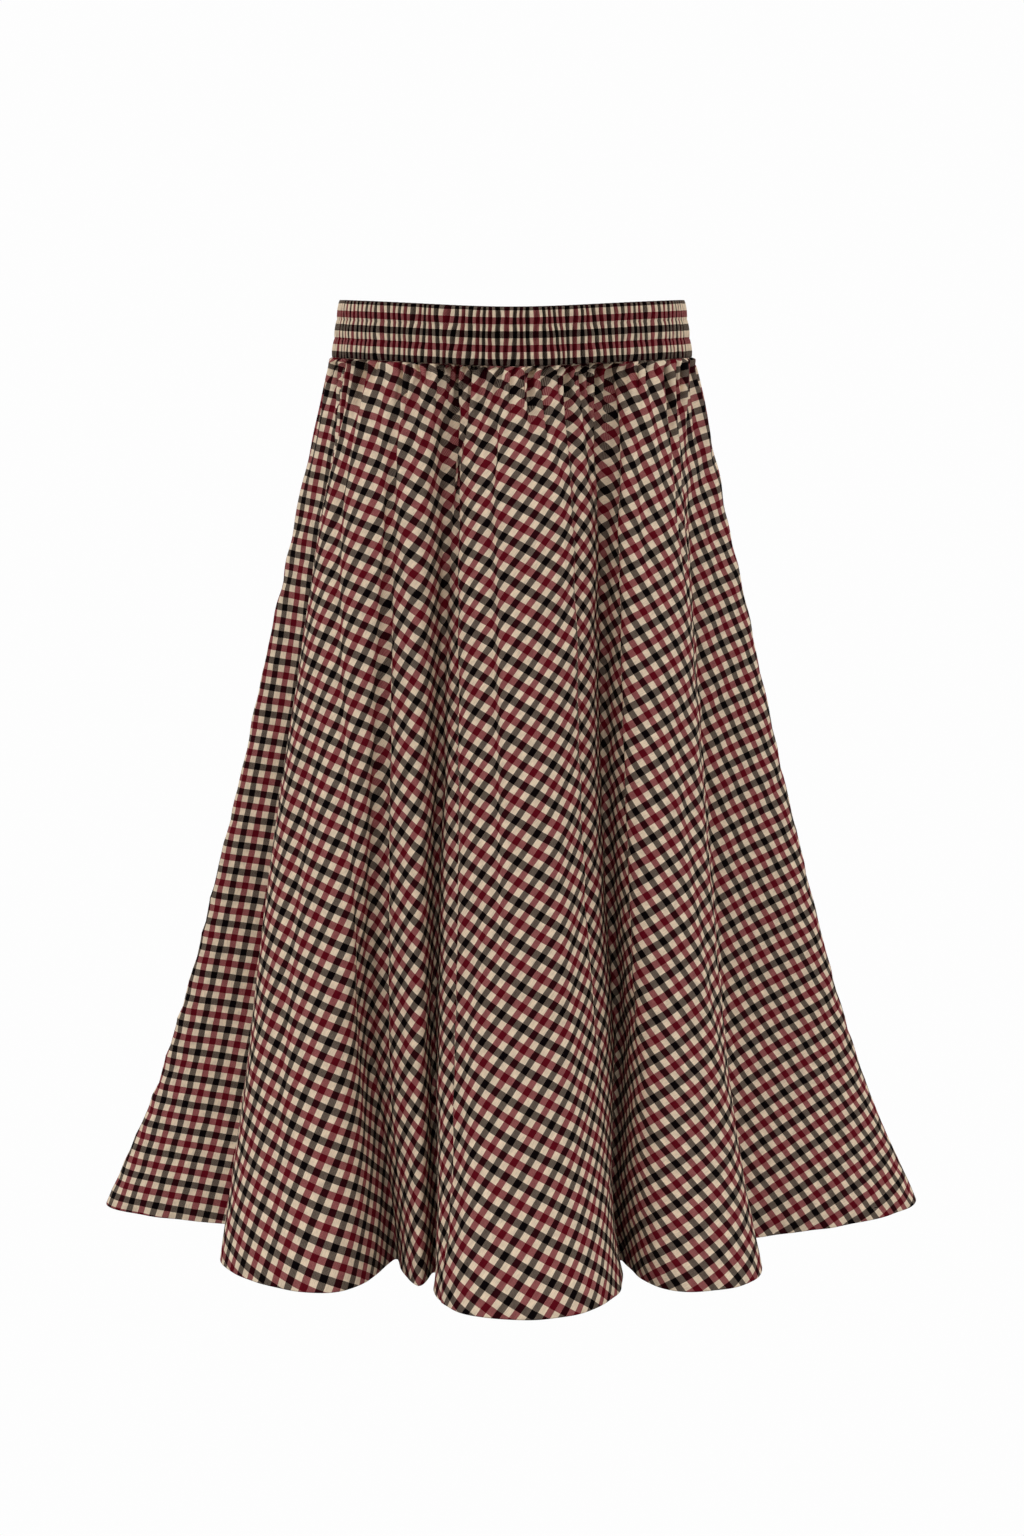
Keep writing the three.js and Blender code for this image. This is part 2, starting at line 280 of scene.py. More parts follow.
class WeaveGroup:
    """The plain-woven check, as a node group that every piece's cloth places."""

    NAME = "Checked weave"
    WANDER = 0.0009
    WANDER_SCALE = 70.0
    YARN_CONTRAST = 0.3
    BURGUNDY_POWER = 0.68
    BLACK_POWER = 0.80
    SLUB_LENGTH = 0.006

    def __init__(self, yarns: Yarns) -> None:
        """Builds the group once.

        Args:
            yarns: The colours of the three yarns.
        """
        self.yarns = yarns
        self.group = bpy.data.node_groups.get(self.NAME) or self.build()

    def ramp(self, kit: ShaderTree, along: bpy.types.NodeSocket) -> bpy.types.NodeSocket:
        """The yarn at a place along the repeat: cream, burgundy, cream, black.

        Args:
            kit: The group's tree.
            along: The place, counted in repeats.

        Returns:
            The shares of burgundy and of black yarn, as the first two channels of a colour.
        """
        node = kit.node("ValToRGB")
        kit.join(kit.math("FRACT", along), node.inputs[0])
        node.color_ramp.interpolation = "CONSTANT"
        cream, burgundy, black = (0, 0, 0, 1), (1, 0, 0, 1), (0, 1, 0, 1)
        order = [cream, burgundy, cream, black]
        stops = node.color_ramp.elements
        while len(stops) < len(order):
            stops.new(0.5)
        for place, (stop, shares) in enumerate(zip(stops, order)):
            stop.position = place / len(order)
            stop.color = shares
        return node.outputs[0]

    def dyed(self, kit: ShaderTree, shares: bpy.types.NodeSocket) -> bpy.types.NodeSocket:
        """The colour of cloth woven of two yarns.

        Colours are mixed as cube roots, so that a square of two yarns is as dark as woven cloth,
        and the dark yarns count for more than their share.

        Args:
            kit: The group's tree.
            shares: The shares of burgundy and of black yarn.

        Returns:
            The colour.
        """
        split = kit.node("SeparateColor")
        kit.join(shares, split.inputs[0])
        not_black = kit.math("SUBTRACT", 1.001, split.outputs[1])
        burgundy = kit.math("POWER", kit.math("DIVIDE", split.outputs[0], not_black), self.BURGUNDY_POWER)
        roots = [
            (*(channel ** (1 / 3) for channel in colour), 1.0)
            for colour in (self.yarns.cream, self.yarns.burgundy, self.yarns.black)
        ]
        mixed = kit.blend(burgundy, roots[0], roots[1])
        mixed = kit.blend(kit.math("POWER", split.outputs[1], self.BLACK_POWER), mixed, roots[2])
        return kit.vector("MULTIPLY", kit.vector("MULTIPLY", mixed, mixed), mixed)

    def build(self) -> bpy.types.NodeTree:
        """Makes the node group.

        Returns:
            The group, with Colour and Height out of it.
        """
        group = bpy.data.node_groups.new(self.NAME, "ShaderNodeTree")
        sockets = group.interface
        sockets.new_socket("Place", in_out="INPUT", socket_type="NodeSocketVector")
        sockets.new_socket("Square", in_out="INPUT", socket_type="NodeSocketFloat")
        sockets.new_socket("Yarn", in_out="INPUT", socket_type="NodeSocketFloat")
        sockets.new_socket("Mottle", in_out="INPUT", socket_type="NodeSocketFloat")
        sockets.new_socket("Colour", in_out="OUTPUT", socket_type="NodeSocketColor")
        sockets.new_socket("Height", in_out="OUTPUT", socket_type="NodeSocketFloat")
        kit = ShaderTree(group)
        given = group.nodes.new("NodeGroupInput").outputs
        result = group.nodes.new("NodeGroupOutput").inputs

        drift = kit.noise(given["Place"], self.WANDER_SCALE).outputs["Color"]
        drift = kit.vector("SUBTRACT", drift, (0.5, 0.5, 0.5))
        drift = kit.vector("SCALE", drift, self.WANDER)
        place = kit.vector("ADD", given["Place"], drift)
        split = kit.node("SeparateXYZ")
        kit.join(place, split.inputs[0])
        across, along = split.outputs["X"], split.outputs["Y"]

        repeat = kit.math("MULTIPLY", given["Square"], 4.0)
        warp = self.ramp(kit, kit.math("DIVIDE", across, repeat))
        weft = self.ramp(kit, kit.math("DIVIDE", along, repeat))

        turn = kit.math("DIVIDE", math.pi, given["Yarn"])
        over = kit.math("MULTIPLY", kit.math("SINE", kit.math("MULTIPLY", across, turn)),
                        kit.math("SINE", kit.math("MULTIPLY", along, turn)))
        share = kit.math("MULTIPLY_ADD", over, self.YARN_CONTRAST, 0.5)
        woven = self.dyed(kit, kit.blend(share, warp, weft))

        stretched = kit.node("CombineXYZ")
        kit.join(kit.math("DIVIDE", across, given["Yarn"]), stretched.inputs["X"])
        kit.join(kit.math("DIVIDE", along, self.SLUB_LENGTH), stretched.inputs["Y"])
        slubs = kit.noise(stretched.outputs[0], 1.0).outputs[0]
        clouds = kit.noise(given["Place"], 160.0, 3.0).outputs[0]
        both = kit.math("ADD", kit.math("SUBTRACT", slubs, 0.5), kit.math("SUBTRACT", clouds, 0.5))
        shade = kit.math("MULTIPLY_ADD", both, given["Mottle"], 1.0)
        kit.join(kit.vector("SCALE", woven, shade), result["Colour"])

        height = kit.math("ABSOLUTE", over)
        kit.join(kit.math("MULTIPLY_ADD", slubs, 0.5, height), result["Height"])
        return group


@dataclass(frozen=True)
class CheckedCloth:
    """The finish of one piece: a light plain-woven check, a little mottled, with a faint nap."""

    name: str
    square: float = 0.0056
    yarn: float = 0.00055
    mottle: float = 0.6
    roughness: float = 0.88
    sheen: float = 0.004
    specular: float = 0.03
    weave_depth: float = 0.00018
    rumple_depth: float = 0.0011
    rumple_scale: float = 75.0

    def material(self, yarns: Yarns) -> bpy.types.Material:
        """Makes the material.

        Args:
            yarns: The colours of the three yarns.

        Returns:
            The finished material, which reads the piece's own map.
        """
        made = bpy.data.materials.new(self.name)
        made.use_nodes = True
        kit = ShaderTree(made.node_tree)
        shader = next(n for n in made.node_tree.nodes if n.type == "BSDF_PRINCIPLED")
        place = kit.node("UVMap", uv_map=CLOTH_UV).outputs[0]
        weave = kit.node("Group")
        weave.node_tree = WeaveGroup(yarns).group
        kit.join(place, weave.inputs["Place"])
        weave.inputs["Square"].default_value = self.square
        weave.inputs["Yarn"].default_value = self.yarn
        weave.inputs["Mottle"].default_value = self.mottle
        kit.join(weave.outputs["Colour"], shader.inputs["Base Color"])

        rumple = kit.noise(place, self.rumple_scale, 3.0).outputs[0]
        soft = kit.node("Bump")
        soft.inputs["Distance"].default_value = self.rumple_depth
        soft.inputs["Strength"].default_value = 0.5
        kit.join(rumple, soft.inputs["Height"])
        fine = kit.node("Bump")
        fine.inputs["Distance"].default_value = self.weave_depth
        fine.inputs["Strength"].default_value = 0.5
        kit.join(weave.outputs["Height"], fine.inputs["Height"])
        kit.join(soft.outputs[0], fine.inputs["Normal"])
        kit.join(fine.outputs[0], shader.inputs["Normal"])

        rough = kit.math("MULTIPLY_ADD", weave.outputs["Height"], 0.1, self.roughness - 0.05)
        kit.join(rough, shader.inputs["Roughness"])
        shader.inputs["Sheen Weight"].default_value = self.sheen
        shader.inputs["Sheen Roughness"].default_value = 0.45
        shader.inputs["Specular IOR Level"].default_value = self.specular
        return made


@dataclass(frozen=True)
class Fold:
    """A crest or valley of the flutes, as in the part's own solids.

    The angles round from +X, in degrees, are given at the waist seam, half way down and at the hem.
    reach is the distance from the axis at the hem. near and far say how broad the fold is half way
    down, towards the one before it and the one after it, and near_hem and far_hem at the hem. lean
    is how far a valley's bottom lies past its mouth, in degrees, so that it runs straight back from
    the front. onset is small where the fold is deep from the waist down. gathers is the number of
    small gathers from this fold to the next.
    """

    waist: float
    middle: float
    hem: float
    reach: float
    near: float
    far: float
    near_hem: float
    far_hem: float
    lean: float
    onset: float
    gathers: int


FOLD_COLUMNS = (
    "waist", "middle", "hem", "reach", "near", "far", "near_hem", "far_hem", "lean", "onset", "gathers",
)

FRONT_FOLDS = table(Fold, FOLD_COLUMNS, (
    (-163, -164, -154, 0.210, 0.4, 0.2, 0.3, 0.2, -8, 0.7, 2),
    (-149, -148, -127, 0.291, 1, 1, 1.1, 1, 0, 1, 2),
    (-134, -122, -110, 0.176, 0.15, 0.2, 0.1, 0.1, -22, 1.1, 1),
    (-128, -117.5, -108, 0.236, 0.5, 0.5, 0.4, 0.4, 0, 0.9, 2),
    (-119, -109, -103.5, 0.196, 0.1, 0.2, 0.2, 0.2, -9, 0.2, 5),
    (-84, -87, -88, 0.304, 1, 1, 1.2, 1.05, 0, 1, 5),
    (-51, -71.5, -72, 0.176, 0.2, 0.2, 0.15, 0.1, 21, 0.22, 2),
    (-35, -47, -53.5, 0.285, 0.9, 0.9, 1, 0.8, 0, 1, 3),
    (-14, -29, -37, 0.208, 0.4, 0.5, 0.1, 0.3, 9, 0.6, 3),
    (2, 2, 2, 0.346, 0.3, 0.3, 0.2, 0.3, 0, 1, 2),
))

BACK_FOLDS = table(Fold, FOLD_COLUMNS, (
    (16, 16, 17, 0.276, 0.3, 0.3, 0.3, 0.3, 0, 0.5, 2),
    (33, 33, 33, 0.310, 0.8, 0.7, 0.8, 0.7, 0, 1, 2),
    (50, 48, 48, 0.222, 0.2, 0.2, 0.2, 0.2, -9, 0.6, 3),
    (66, 66, 66, 0.284, 0.9, 1, 0.8, 0.9, 0, 1, 3),
    (84, 85, 84, 0.196, 0.1, 0.2, 0.2, 0.2, -5, 0.3, 3),
    (101, 102, 103, 0.282, 1, 0.9, 0.9, 0.8, 0, 1, 3),
    (119, 121, 121, 0.212, 0.2, 0.1, 0.2, 0.2, 9, 0.5, 2),
    (136, 136, 138, 0.296, 0.9, 0.9, 0.8, 0.8, 0, 1, 2),
    (152, 153, 155, 0.248, 0.2, 0.3, 0.25, 0.3, 5, 0.5, 3),
    (179, 180, 180, 0.346, 0.3, 0.22, 0.3, 0.22, 0, 1, 2),
))


@dataclass(frozen=True)
class Section:
    """Half of the skirt's width seen from the front, at a drop from the waistband's top edge."""

    drop: float
    half_width: float


@dataclass(frozen=True)
class GatherSize:
    """A gather under the waistband, and the share of the way down at which it has faded out."""

    height: float
    length: float


@dataclass(frozen=True)
class SkirtForm:
    """The flutes' form that both panels share, with the sizes of the part's own solids."""

    total_length: float = 0.760
    band_height: float = 0.046
    seam_gap: float = 0.0003
    waist_half_depth: float = 0.096
    band_top_half_width: float = 0.1405
    band_foot_half_width: float = 0.147
    waist_dip: float = 0.0054
    front_reach_at_hem: float = 0.304
    back_reach_at_hem: float = 0.280
    plain_breadth: float = 1 / 3
    full_level: float = 0.2
    hem_level: float = 0.7
    lean_at_hem: float = 0.5
    gather_share_at_seam: float = 0.25
    gather_onset: float = 0.012
    steps_per_gather: int = 14
    sections: tuple[Section, ...] = (
        Section(drop=0.046, half_width=0.147),
        Section(drop=0.081, half_width=0.157),
        Section(drop=0.162, half_width=0.1755),
        Section(drop=0.245, half_width=0.1935),
        Section(drop=0.370, half_width=0.2215),
        Section(drop=0.497, half_width=0.253),
        Section(drop=0.583, half_width=0.2765),
        Section(drop=0.670, half_width=0.306),
        Section(drop=0.760, half_width=0.346),
    )
    gather_run: tuple[GatherSize, ...] = (
        GatherSize(height=0.0024, length=0.16),
        GatherSize(height=0.0018, length=0.28),
        GatherSize(height=0.0026, length=0.12),
        GatherSize(height=0.0020, length=0.40),
        GatherSize(height=0.0023, length=0.20),
    )

    @property
    def band_top_z(self) -> float:
        """Height of the waistband's top edge at the sides."""
        return self.band_height / 2

    @property
    def hem_z(self) -> float:
        """Height of the hem."""
        return self.band_top_z - self.total_length

    def waist_z(self, angle: np.ndarray) -> np.ndarray:
        """How far the waistline lies below its height at the sides."""
        return -self.waist_dip * np.sin(angle) ** 2

    def seam_z(self, angle: np.ndarray) -> np.ndarray:
        """Height of the panels' top edge."""
        return -self.band_height / 2 + self.waist_z(angle) - self.seam_gap

    def band_radius(self, share: np.ndarray | float, angle: np.ndarray) -> np.ndarray:
        """The plain oval under the waistband's ribs, at a share of its height from the top."""
        half_width = mix(self.band_top_half_width, self.band_foot_half_width, share)
        return oval_radius(half_width, self.waist_half_depth, angle)

    def half_width(self, drop: float) -> float:
        """Half width at a drop, along a smooth curve through the sections.

        Args:
            drop: Distance down from the waistband's top edge.

        Returns:
            Half of the width seen from the front.
        """
        drops = np.array([section.drop for section in self.sections])
        widths = np.array([section.half_width for section in self.sections])
        last = len(drops) - 1
        before, after = np.maximum(np.arange(last + 1) - 1, 0), np.minimum(np.arange(last + 1) + 1, last)
        slopes = (widths[after] - widths[before]) / (drops[after] - drops[before])
        i = int(np.clip(np.searchsorted(drops, drop) - 1, 0, last - 1))
        span = drops[i + 1] - drops[i]
        s = min(1.0, max(0.0, (drop - drops[i]) / span))
        bend = span * s * (1 - s) * (slopes[i] * (1 - s) - slopes[i + 1] * s)
        return float(mix(widths[i], widths[i + 1], s * s * (3 - 2 * s)) + bend)

    def envelope(self, level: float, angle: np.ndarray) -> np.ndarray:
        """The smooth oval that the flutes stand on.

        Args:
            level: Share of the height below the waist seam.
            angle: Angles round from +X, in radians.

        Returns:
            The oval's distance from the axis at each angle.
        """
        half_width = self.half_width(float(mix(self.band_height, self.total_length, level)))
        widest = self.sections[-1].half_width
        flare = (half_width - self.band_foot_half_width) / (widest - self.band_foot_half_width)
        reach = np.where(np.sin(angle) < 0, self.front_reach_at_hem, self.back_reach_at_hem)
        return oval_radius(half_width, mix(self.waist_half_depth, reach, flare), angle)

    def fold_at(self, fold: Fold, level: float) -> tuple[float, float, float, float, float]:
        """A crest or valley at a level.

        Args:
            fold: The fold.
            level: Share of the height below the waist seam.

        Returns:
            Its angle in degrees, its share of the oval's radius, its breadths near and far, and
            its lean in degrees.
        """
        towards_middle = 4 * fold.middle - 3 * fold.waist - fold.hem
        past_middle = 2 * fold.waist - 4 * fold.middle + 2 * fold.hem
        share_at_hem = fold.reach / float(self.envelope(1.0, np.array(math.radians(fold.hem))))
        full = float(smooth(0, self.full_level, level))
        low = float(smooth(self.hem_level, 1, level))
        return (
            fold.waist + towards_middle * level + past_middle * level**2,
            1 + (share_at_hem - 1) * level**fold.onset,
            mix(mix(self.plain_breadth, fold.near, full), fold.near_hem, low),
            mix(mix(self.plain_breadth, fold.far, full), fold.far_hem, low),
            fold.lean * level**fold.onset * mix(1, self.lean_at_hem, low),
        )

    def gather_heights(self, count: np.ndarray, level: float) -> np.ndarray:
        """How far the gathers stand out, at places counted in gathers round the waist.

        Args:
            count: Places, counted in gathers.
            level: Share of the height below the waist seam.

        Returns:
            The height at each place, without the wave itself.
        """
        run = len(self.gather_run)
        heights = np.array([size.height for size in self.gather_run])
        lengths = np.array([size.length for size in self.gather_run])
        grown = mix(self.gather_share_at_seam, 1, smooth(0, self.gather_onset, level))
        fall = (level - self.gather_onset) / (lengths - self.gather_onset)
        now = heights * grown * (1 - smooth(0, 1, fall))
        index = np.floor(count).astype(int)
        return mix(now[index % run], now[(index + 1) % run], smooth(1 / 3, 2 / 3, count - index))

    def ring(self, folds: tuple[Fold, ...], after: Fold, gathers_before: int, level: float) -> np.ndarray:
        """The cloth's outer face at a level, across one panel.

        Args:
            folds: The panel's folds in order.
            after: The next panel's first fold, where this one ends.
            gathers_before: Gathers on the panels before this one.
            level: Share of the height below the waist seam.

        Returns:
            Points across the panel, as count, xyz.
        """
        angles, shares, counts = [], [], []
        count = gathers_before
        for fold, following in zip(folds, (*folds[1:], after)):
            from_angle, from_share, _, from_far, from_lean = self.fold_at(fold, level)
            to_angle, to_share, to_near, _, to_lean = self.fold_at(following, level)
            if to_angle < from_angle:
                to_angle += 360
            steps = fold.gathers * self.steps_per_gather
            s = np.arange(steps) / steps
            turn = 3 * (1 - s) ** 2 * s * from_far + 3 * (1 - s) * s**2 * (1 - to_near) + s**3
            fall = s * s * (3 - 2 * s)
            angles.append(mix(from_angle, to_angle, turn) + mix(from_lean, to_lean, fall))
            shares.append(mix(from_share, to_share, fall))
            counts.append(count + s * fold.gathers)
            count += fold.gathers
        angles.append(np.array([to_angle + to_lean]))
        shares.append(np.array([to_share]))
        counts.append(np.array([float(count)]))
        angle = np.radians(np.concatenate(angles))
        gather = np.concatenate(counts)
        ripple = self.gather_heights(gather, level) * np.cos(2 * np.pi * gather)
        radius = self.envelope(level, angle) * np.concatenate(shares) + ripple
        z = mix(self.seam_z(angle), self.hem_z, level)
        return np.stack([radius * np.cos(angle), radius * np.sin(angle), z], axis=1)


@dataclass(frozen=True)
class Crease:
    """A soft ridge, or a trough where height is below 0, that runs down a panel.

    start and end are shares of the way across the panel, at the crease's top and foot, and bow is
    how far its middle lies to the right of the straight line. top and foot are shares of the way
    down. height, and the widths before and after its line, are in metres, and tuck is the cloth that
    is hidden in the crease. edge is 2 for a soft crease and nearer 1 for a sharp one.
    """

    start: float
    end: float
    top: float
    foot: float
    height: float
    before: float
    after: float
    bow: float
    tuck: float
    edge: float


@dataclass(frozen=True)
class Drag:
    """How far the weave is pulled down for each metre across, at a share of the way across."""

    share: float
    slope: float


@dataclass(frozen=True)
class Puckers:
    """Small uneven gathers under the seam, finer than those of the solids."""

    count: float
    height: float
    shortest: float
    longest: float
    seed: int


@dataclass
class Panel:
    """One flared panel of the skirt, from its own side seam to the next panel's."""

    node: Node
    slot: Slot
    form: SkirtForm
    folds: tuple[Fold, ...]
    after: Fold
    gathers_before: int
    slant_at_start: float
    fan_angle: float
    fan_start: float = 0.308
    creases: tuple[Crease, ...] = ()
    puckers: tuple[Puckers, ...] = ()
    drags: tuple[Drag, ...] = (Drag(share=0.0, slope=0.0),)
    seed: int = 1
    columns: int = 401
    rows: int = 104
    thickness: float = 0.0009
    hem_turn: float = 0.009
    hem_bend: float = 0.00095
    lip_depth: float = 0.0108
    lip_height: float = 0.006
    seam_pinch: float = 0.0013
    seam_pinch_width: float = 0.0035
    seam_pucker: float = 0.0005
    seam_pucker_pitch: float = 0.017
    rumple: float = 0.0007
    edge_tuck: float = 0.0016
    edge_tuck_length: float = 0.0022
    even_rows: float = 0.23
    pucker_crest: float = 0.35
    pucker_roundness: float = 0.7
    pucker_fade: float = 1.3
    pucker_share_at_seam: float = 0.55
    pucker_onset: float = 0.005
    crease_rise: float = 0.2
    crease_fall: float = 0.55
    crease_share_at_seam: float = 0.4
    crease_onset: float = 0.010
    rumple_waves: int = 14
    rumple_onset: float = 0.05

    def levels(self) -> np.ndarray:
        """Rows from the waist seam to the hem, closer together under the waistband."""
        step = np.linspace(0, 1, self.rows)
        return self.even_rows * step + (1 - self.even_rows) * step**2

    def base_grid(self, levels: np.ndarray) -> tuple[np.ndarray, np.ndarray]:
        """The panel on the solid's form, its columns running down the cloth like its grain.

        Args:
            levels: Shares of the height, for each row.

        Returns:
            The points, as rows, columns, xyz, and each row's length.
        """
        share = np.linspace(0, 1, self.columns)
        grid, lengths = [], []
        for level in levels:
            ring = self.form.ring(self.folds, self.after, self.gathers_before, float(level))
            run = np.concatenate([[0], np.cumsum(np.linalg.norm(np.diff(ring, axis=0), axis=1))])
            lengths.append(run[-1])
            row = np.stack([np.interp(share * run[-1], run, ring[:, i]) for i in range(3)], axis=1)
            row[1:-1] = (row[:-2] + 2 * row[1:-1] + row[2:]) / 4
            grid.append(row)
        return np.array(grid), np.array(lengths)

    def pucker_relief(self, puckers: Puckers, share: np.ndarray, slant: np.ndarray) -> np.ndarray:
        """Small gathers that fade out below the seam, each of its own height and length.

        Args:
            puckers: The sizes of this set.
            share: Shares of the way across, for each column.
            slant: Distance down the cloth, for each row.

        Returns:
            How far each point stands out, as rows, columns.
        """
        draw = np.random.RandomState(puckers.seed)
        waves = int(puckers.count) + 3
        heights = puckers.height * draw.uniform(0.25, 1.0, waves)
        lengths = draw.uniform(puckers.shortest, puckers.longest, waves)
        wobble = 0.35 * np.sin(2 * np.pi * (3.3 * share + draw.rand()))
        wobble += 0.3 * np.sin(2 * np.pi * (7.7 * share + draw.rand()))
        count = puckers.count * share + wobble + 1
        index = np.floor(count).astype(int)
        step = smooth(0.25, 0.75, count - index)
        height = mix(heights[index], heights[index + 1], step)
        length = mix(lengths[index], lengths[index + 1], step)
        wave = (1 + self.pucker_crest) * np.abs(np.sin(np.pi * count)) ** self.pucker_roundness - 1
        fade = (1 - smooth(0, 1, slant[:, None] / length[None, :])) ** self.pucker_fade
        grown = mix(self.pucker_share_at_seam, 1, smooth(0, self.pucker_onset, slant))[:, None]
        return height * wave * fade * grown

    def crease_relief(
        self, share: np.ndarray, levels: np.ndarray, lengths: np.ndarray
    ) -> tuple[np.ndarray, np.ndarray]:
        """The listed creases.

        Args:
            share: Shares of the way across, for each column.
            levels: Shares of the height, for each row.
            lengths: Each row's length.

        Returns:
            How far each point stands out, and how far the cloth has moved along by the tucks to
            its left, both as rows, columns.
        """
        relief = np.zeros((len(levels), len(share)))
        moved = np.zeros_like(relief)
        for crease in self.creases:
            along = (levels - crease.top) / (crease.foot - crease.top)
            centre = mix(crease.start, crease.end, along) + 4 * crease.bow * along * (1 - along)
            away = (share[None, :] - centre[:, None]) * lengths[:, None]
            fade = (smooth(0, self.crease_rise, along) * (1 - smooth(self.crease_fall, 1, along)))[:, None]
            away /= np.where(away < 0, crease.before, crease.after)
            relief += crease.height * fade * np.exp(-(np.abs(away) ** crease.edge))
            moved += crease.tuck * fade * (smooth(-1, 1, away) - 0.5)
        return relief, moved

    def rumple_relief(self, share: np.ndarray, slant: np.ndarray, lengths: np.ndarray) -> np.ndarray:
        """Faint long waves, so that no stretch of cloth is perfectly smooth."""
        draw = np.random.RandomState(self.seed)
        across = share[None, :] * lengths[:, None]
        relief = np.zeros(across.shape)
        for _ in range(self.rumple_waves):
            tight, steep = draw.uniform(8, 34), draw.uniform(-7, 7)
            turns = tight * across + steep * slant[:, None] + draw.rand()
            relief += draw.uniform(0.3, 1) * np.sin(2 * np.pi * turns)
        return self.rumple * relief / 2.5

    def dragged(self, share: np.ndarray) -> np.ndarray:
        """How far the weave is pulled down at each column, as a share of its row's length."""
        slopes = np.interp(share, [drag.share for drag in self.drags], [drag.slope for drag in self.drags])
        total = np.cumsum(slopes) / len(share)
        return total - total[len(share) // 2]

    def seam_relief(self, share: np.ndarray, slant: np.ndarray, lengths: np.ndarray) -> np.ndarray:
        """The panel's side edges, drawn in and a little puckered by the seams."""
        edge = np.minimum(share, 1 - share)[None, :] * lengths[:, None]
        pinch = -self.seam_pinch * np.exp(-((edge / self.seam_pinch_width) ** 2))
        turn = slant / self.seam_pucker_pitch + 0.6 * np.sin(slant * 31)
        pucker = self.seam_pucker * np.sin(2 * np.pi * turn)[:, None] * np.exp(-((edge / 0.011) ** 2))
        return pinch + pucker

    def lip_rows(self, top: np.ndarray) -> np.ndarray:
        """The seam's turning, which goes in under the waistband and up behind it.

        Args:
            top: The panel's top edge.

        Returns:
            Rows of points from the turning's end down to the panel's edge.
        """
        angle = np.arctan2(top[:, 1], top[:, 0])
        seam = self.form.seam_z(angle)
        path = (
            (self.lip_depth, self.lip_height), (self.lip_depth, self.lip_height / 2),
            (self.lip_depth, 0.0006), (self.lip_depth - 0.0007, 0.0), (self.lip_depth * 0.75, 0.0),
        )
        rows = []
        for depth, rise in path:
            share = 1 - rise / self.form.band_height
            radius = self.form.band_radius(share, angle) - depth
            rows.append(np.stack([radius * np.cos(angle), radius * np.sin(angle), seam + rise], axis=1))
        return np.array(rows)

    def hem_rows(self, grid: np.ndarray) -> np.ndarray:
        """The narrow hem, turned under and up inside the edge.

        Args:
            grid: The panel's face, whose last row is at the hem.

        Returns:
            Rows of points that take the last row's place and go on round and up.
        """
        edge = grid[-1]
        up = grid[-3] - edge
        up /= np.linalg.norm(up, axis=1, keepdims=True)
        out = outward_normals(grid, False)[-2]
        bend = self.hem_bend
        turns = np.radians([0, 30, 60, 90, 120, 150, 180])
        path = [(bend - bend * math.sin(a), bend * math.cos(a) - bend) for a in turns]
        path += [(bend + self.hem_turn * rise, -2 * bend) for rise in (0.15, 0.4, 0.7, 1.0)]
        return np.array([edge + rise * up + depth * out for rise, depth in path])

    def build(self) -> bpy.types.Object:
        """Makes the panel as one closed shell of cloth.

        Returns:
            The new object.
        """
        levels = self.levels()
        share = np.linspace(0, 1, self.columns)
        grid, lengths = self.base_grid(levels)
        steps = np.linalg.norm(np.diff(grid, axis=0), axis=2).mean(axis=1)
        slant = np.concatenate([[0], np.cumsum(steps)])
        relief, moved = self.crease_relief(share, levels, lengths)
        relief *= mix(self.crease_share_at_seam, 1, smooth(0, self.crease_onset, slant))[:, None]
        rumples = self.rumple_relief(share, slant, lengths)
        relief += rumples * smooth(0, self.rumple_onset, slant)[:, None]
        relief += self.seam_relief(share, slant, lengths)
        for puckers in self.puckers:
            relief += self.pucker_relief(puckers, share, slant)
        relief -= self.edge_tuck * (1 - smooth(0, self.edge_tuck_length, slant))[:, None]
        grid = grid + relief[:, :, None] * outward_normals(grid, False)
        grid[0, :, 2] = self.form.seam_z(np.arctan2(grid[0, :, 1], grid[0, :, 0]))
        grid[1:, :, 2] = np.minimum(grid[1:, :, 2], grid[0, :, 2] - 0.0004)
        grid[-1, :, 2] = self.form.hem_z

        lip, hem = self.lip_rows(grid[0]), self.hem_rows(grid)
        sheet = np.concatenate([lip, grid[:-1], hem])
        down = np.linalg.norm(np.diff(sheet, axis=0), axis=2).mean(axis=1)
        run = np.concatenate([[0], np.cumsum(down)])
        run -= run[len(lip)]
        row = np.clip(np.arange(len(sheet)) - len(lip), 0, len(levels) - 1)
        radius = self.fan_start + run[:, None] + self.dragged(share)[None, :] * lengths[row, None]
        turn = math.radians(self.slant_at_start) + math.radians(self.fan_angle) * share
        turn = turn[None, :] + moved[row] / radius
        uv = np.stack([radius * np.sin(turn), -radius * np.cos(turn)], axis=2)
        inner = sheet - self.thickness * outward_normals(sheet, False)
        piece = wall_object(self.node.value + "_cloth", sheet, inner, uv, False)
        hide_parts(self.node.value)
        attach(piece, BODY)
        return piece

    def dress(self, piece: bpy.types.Object, yarns: Yarns) -> None:
        """Gives the panel its cloth."""
        piece.data.materials.append(CheckedCloth(name=self.slot.value).material(yarns))


